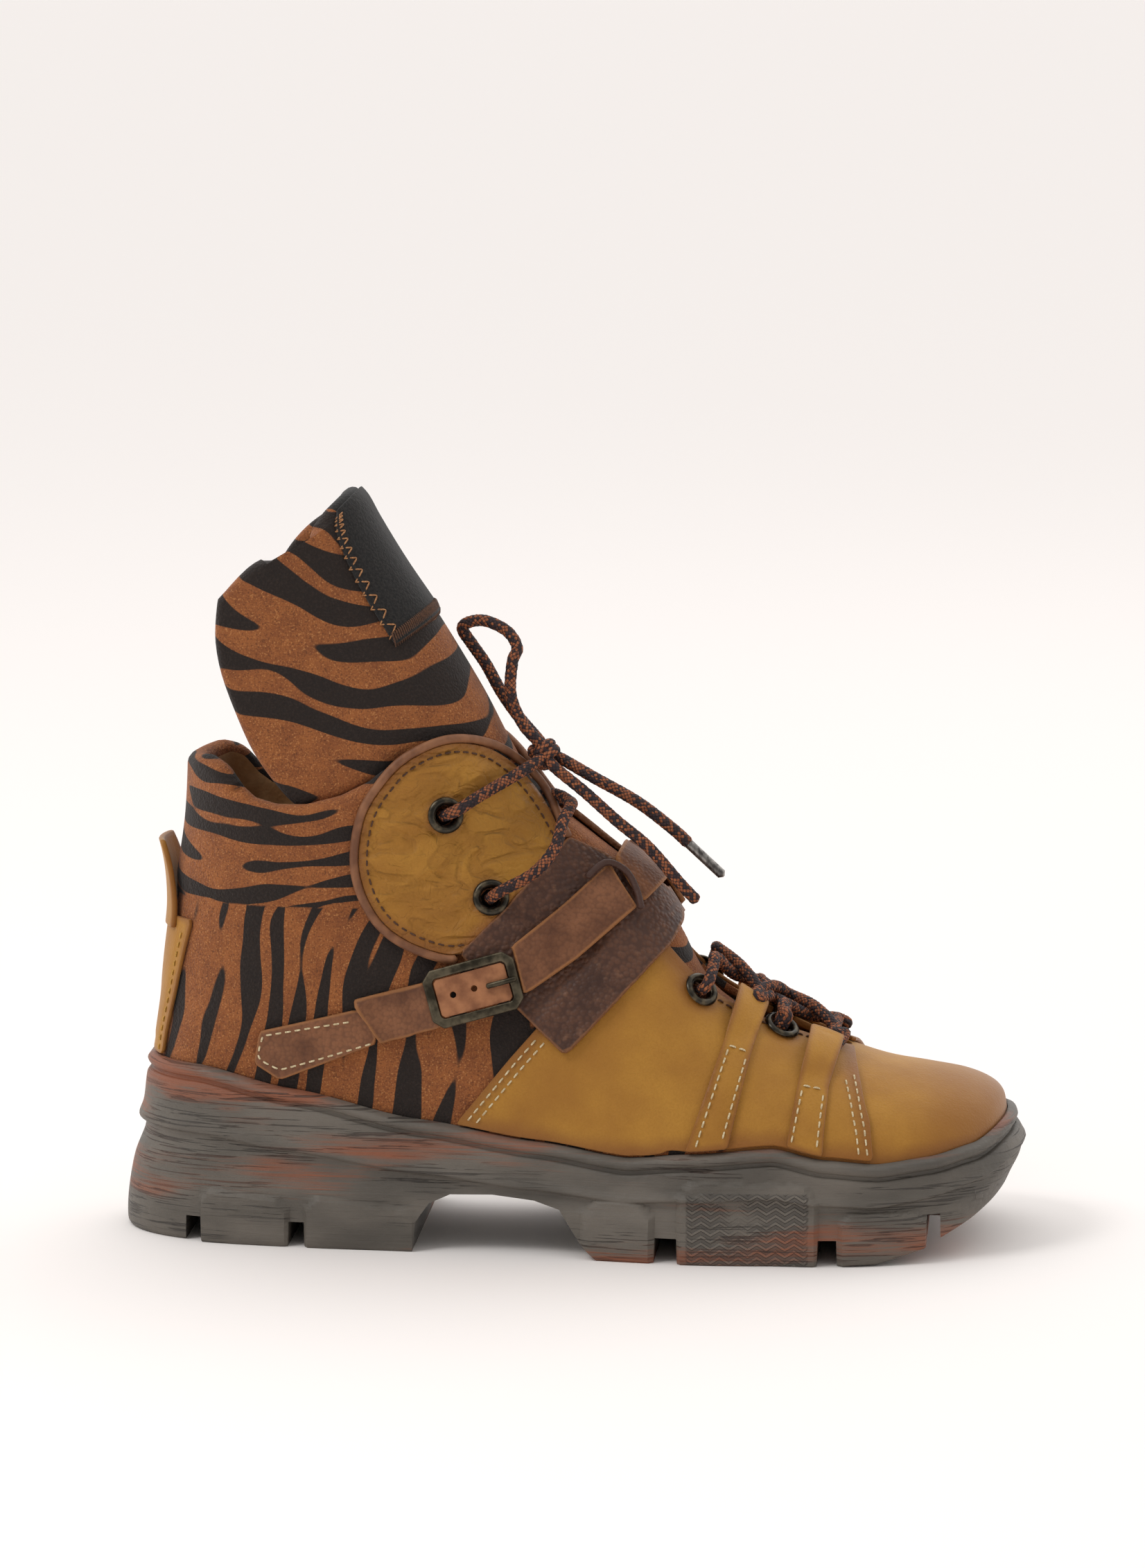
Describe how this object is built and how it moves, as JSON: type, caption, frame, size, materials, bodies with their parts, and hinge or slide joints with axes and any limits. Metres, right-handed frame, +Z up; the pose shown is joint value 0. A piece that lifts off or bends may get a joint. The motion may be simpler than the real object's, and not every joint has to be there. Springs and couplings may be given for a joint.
{
  "type": "sneaker boot",
  "caption": "Right ankle-high lace-up sneaker boot with a lugged rubber sole, tall padded tongue, suede and nubuck upper, instep band and buckled strap.",
  "frame": {"origin": "middle of the shoe's bounding box, on the ground", "axes": "+X towards the toe, +Y towards the inner side of the foot, +Z up"},
  "size_m": [0.2896, 0.1082, 0.2401],
  "materials": {
    "grey_rubber": "matt moulded rubber with a brushed orange-brown wash",
    "striped_suede": "suede with coarse nap and near-black stripes",
    "yellow_nubuck": "nubuck with burnished darker edges",
    "brown_leather": "pebbled pull-up leather",
    "tan_leather": "smooth tan leather",
    "black_suede": "short black suede",
    "gunmetal": "dark gunmetal plating",
    "old_brass": "antique brass, dark in the hollows",
    "round_lace": "round braided lace, dark with orange flecks",
    "aglet_metal": "satin"
  },
  "bodies": {
    "root": {"sole": "grey_rubber", "upper": "striped_suede", "insole": "tan_leather", "tongue": "striped_suede", "tongue_patch": "black_suede", "backstay": "yellow_nubuck", "strap_base": "brown_leather", "strap_tail": "brown_leather", "buckled_strap": "brown_leather", "buckle_frame": "old_brass", "strap_tip": "tan_leather", "buckle_prong": "old_brass", "cross_strap": "brown_leather", "tie_thong": "brown_leather", "lace_crossings": "round_lace", "lace_knot": "round_lace", "lace_loop": "round_lace", "lace_end_1": "round_lace", "lace_end_2": "round_lace", "lace_aglet": "aglet_metal", "quarter_outer": "yellow_nubuck", "ankle_flap_outer": "yellow_nubuck", "flap_piping_outer": "tan_leather", "instep_band_outer": "brown_leather", "lace_loop_strap_1_outer": "yellow_nubuck", "lace_loop_strap_2_outer": "yellow_nubuck", "lace_strand_outer": "round_lace", "eyelet_flap_top_outer": "gunmetal", "eyelet_flap_low_outer": "gunmetal", "eyelet_quarter_top_outer": "gunmetal", "eyelet_quarter_low_outer": "gunmetal", "quarter_inner": "yellow_nubuck", "ankle_flap_inner": "yellow_nubuck", "flap_piping_inner": "tan_leather", "instep_band_inner": "brown_leather", "lace_loop_strap_1_inner": "yellow_nubuck", "lace_loop_strap_2_inner": "yellow_nubuck", "lace_strand_inner": "round_lace", "eyelet_flap_top_inner": "gunmetal", "eyelet_flap_low_inner": "gunmetal", "eyelet_quarter_top_inner": "gunmetal", "eyelet_quarter_low_inner": "gunmetal"}
  },
  "joints": []
}
